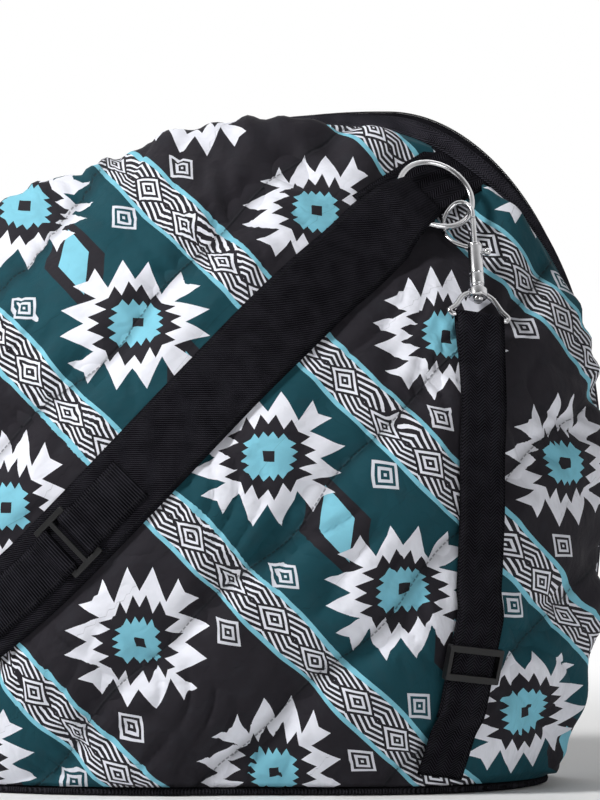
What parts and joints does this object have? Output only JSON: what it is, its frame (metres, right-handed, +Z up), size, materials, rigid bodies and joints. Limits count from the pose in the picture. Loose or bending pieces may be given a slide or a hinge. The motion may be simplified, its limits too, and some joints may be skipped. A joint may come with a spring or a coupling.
{
  "type": "riding saddle carry bag",
  "caption": "Padded, zipped carry bag for a western riding saddle, with wide carry straps, rings, clip-on slings with strap sliders and ribbed webbing with ladder buckles",
  "frame": {"origin": "centre of the box's underside, on the floor under the base panel", "axes": "+X to the front where the zip comes down beside the rings, +Y to the bag's left, +Z up"},
  "size_m": [0.5976, 0.3818, 0.5263],
  "materials": {
    "cloth": "printed padded cloth",
    "webbing": "black woven webbing",
    "nickel": "polished nickel plate",
    "plastic": "moulded black",
    "zip_teeth": "black coil",
    "gunmetal": "dark gunmetal"
  },
  "bodies": {
    "bag": {"base_panel": "cloth", "side_panel_right": "cloth", "side_panel_left": "cloth", "rear_gusset": "webbing", "zip_band_right": "webbing", "zip_band_left": "webbing", "zip_tape_right": "webbing", "zip_tape_left": "webbing", "anchor_webbing_right": "webbing", "anchor_webbing_left": "webbing", "carry_strap_right": "webbing", "carry_strap_left": "webbing", "sling_strap_right": "webbing", "sling_strap_left": "webbing", "ribbed_webbing_right": "webbing", "ribbed_webbing_left": "webbing", "strap_tail_right": "webbing", "strap_tail_left": "webbing", "zip_stop": "gunmetal", "swivel_eye_right": "nickel", "swivel_eye_left": "nickel", "ladder_buckle_right": "plastic", "ladder_buckle_left": "plastic", "zip_coil_right": "zip_teeth", "zip_coil_left": "zip_teeth"},
    "ring_right": {"ring_right": "nickel"},
    "snap_right": {"snap_body_right": "nickel", "bolt_spring_right": "nickel"},
    "bolt_right": {"snap_bolt_right": "nickel"},
    "glide_right": {"strap_glide_right": "plastic"},
    "ring_left": {"ring_left": "nickel"},
    "snap_left": {"snap_body_left": "nickel", "bolt_spring_left": "nickel"},
    "bolt_left": {"snap_bolt_left": "nickel"},
    "glide_left": {"strap_glide_left": "plastic"},
    "slider": {"zip_slider": "gunmetal"},
    "pull": {"zip_pull": "gunmetal"}
  },
  "joints": [
    {"name": "ring_turn_right", "type": "hinge", "parent": "bag", "child": "ring_right", "pos_m": [0.16551, -0.07501, 0.45715], "axis": [0.3417, -0.7716, 0.5365], "continuous": true},
    {"name": "snap_swivel_right", "type": "hinge", "parent": "bag", "child": "snap_right", "pos_m": [0.19613, -0.11562, 0.38374], "axis": [-0.0331, 0.509, 0.8601], "range_deg": [-5, 4]},
    {"name": "bolt_slide_right", "type": "slide", "parent": "snap_right", "child": "bolt_right", "axis": [0.0331, -0.509, -0.8601], "range_m": [0, 0.007], "stiffness_N_per_m": 150, "springref_m": -0.004},
    {"name": "strap_adjust_right", "type": "slide", "parent": "bag", "child": "glide_right", "axis": [-0.1837, 0.0896, -0.9789], "range_m": [-0.018, 0.018]},
    {"name": "ring_turn_left", "type": "hinge", "parent": "bag", "child": "ring_left", "pos_m": [0.16551, 0.07501, 0.45715], "axis": [0.3417, 0.7716, 0.5365], "continuous": true},
    {"name": "snap_swivel_left", "type": "hinge", "parent": "bag", "child": "snap_left", "pos_m": [0.19613, 0.11562, 0.38374], "axis": [-0.0331, -0.509, 0.8601], "range_deg": [-4, 5]},
    {"name": "bolt_slide_left", "type": "slide", "parent": "snap_left", "child": "bolt_left", "axis": [0.0331, 0.509, -0.8601], "range_m": [0, 0.007], "stiffness_N_per_m": 150, "springref_m": -0.004},
    {"name": "strap_adjust_left", "type": "slide", "parent": "bag", "child": "glide_left", "axis": [-0.1837, -0.0896, -0.9789], "range_m": [-0.018, 0.018]},
    {"name": "zip_run", "type": "hinge", "parent": "bag", "child": "slider", "pos_m": [0.13202, 0, -0.053], "axis": [0, 1, 0], "range_deg": [0, 22]},
    {"name": "pull_hinge", "type": "hinge", "parent": "slider", "child": "pull", "pos_m": [-0.19538, 0, 0.4312], "axis": [0, 1, 0], "range_deg": [0, 150]}
  ]
}
